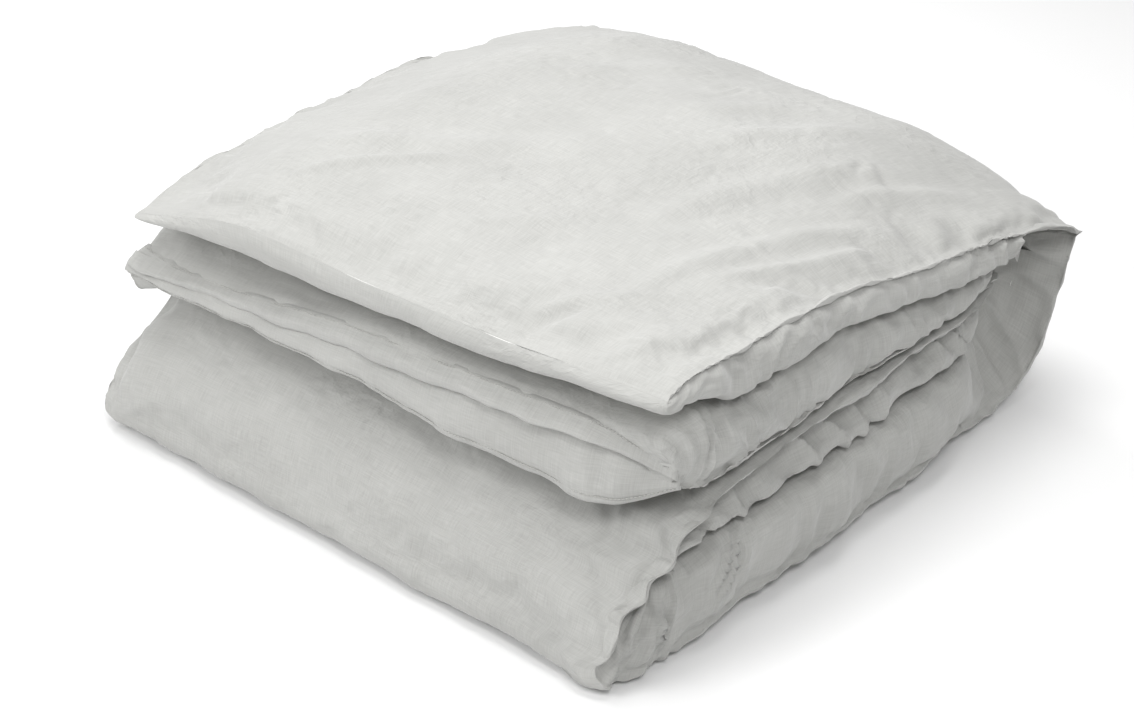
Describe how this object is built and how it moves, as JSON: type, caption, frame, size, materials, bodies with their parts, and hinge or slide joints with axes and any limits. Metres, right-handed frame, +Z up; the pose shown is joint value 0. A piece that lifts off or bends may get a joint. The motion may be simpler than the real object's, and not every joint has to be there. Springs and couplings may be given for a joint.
{
  "type": "folded duvet",
  "caption": "Duvet in a plain pale grey cover, folded in four, with the cover's hemmed opening and sewn head end in front and a top quarter that folds back.",
  "frame": {"origin": "the middle of the folded bundle's footprint, on the surface that it lies on", "axes": "+X along the folds, to the right when the free ends face the viewer; +Y from the front fold and the free ends to the rear wrap; +Z up"},
  "size_m": [0.69, 0.68, 0.3156],
  "materials": {
    "cover_cloth": "washed plain-weave cotton and linen, pale warm grey, matt",
    "hem_cloth": "the cover's cloth in folded and stitched plies",
    "casing_cloth": "fine off-white cotton, matt",
    "fill_wadding": "white fibre wadding, matt",
    "button_plastic": "pale grey sew-through buttons, satin"
  },
  "bodies": {
    "stack": {"cover_face_stack": "cover_cloth", "cover_back_stack": "cover_cloth", "casing_face_stack": "casing_cloth", "casing_back_stack": "casing_cloth", "fill_quarter_1": "fill_wadding", "fill_front_fold": "fill_wadding", "fill_quarter_2": "fill_wadding", "fill_inner_rear_fold": "fill_wadding", "fill_quarter_3": "fill_wadding", "opening_hem_upper": "hem_cloth", "opening_hem_lower": "hem_cloth", "button_1": "button_plastic", "button_2": "button_plastic", "button_3": "button_plastic", "button_4": "button_plastic", "button_5": "button_plastic", "button_6": "button_plastic"},
    "rear_wrap": {"cover_face_rear_wrap": "cover_cloth", "cover_back_rear_wrap": "cover_cloth", "casing_face_rear_wrap": "casing_cloth", "casing_back_rear_wrap": "casing_cloth", "fill_rear_wrap": "fill_wadding"},
    "top_quarter": {"cover_face_top_quarter": "cover_cloth", "cover_back_top_quarter": "cover_cloth", "casing_face_top_quarter": "casing_cloth", "casing_back_top_quarter": "casing_cloth", "fill_top_quarter": "fill_wadding"}
  },
  "joints": [
    {"name": "wrap_tilt", "type": "hinge", "parent": "stack", "child": "rear_wrap", "pos_m": [0, 0.34, 0], "axis": [-1, 0, 0], "range_deg": [0, 90]},
    {"name": "top_fold", "type": "hinge", "parent": "rear_wrap", "child": "top_quarter", "pos_m": [0, 0.34, 0.2958], "axis": [-1, 0, 0], "range_deg": [0, 90]}
  ],
  "couplings": [
    {"joint": "top_fold", "follows": "wrap_tilt", "ratio": 1}
  ]
}
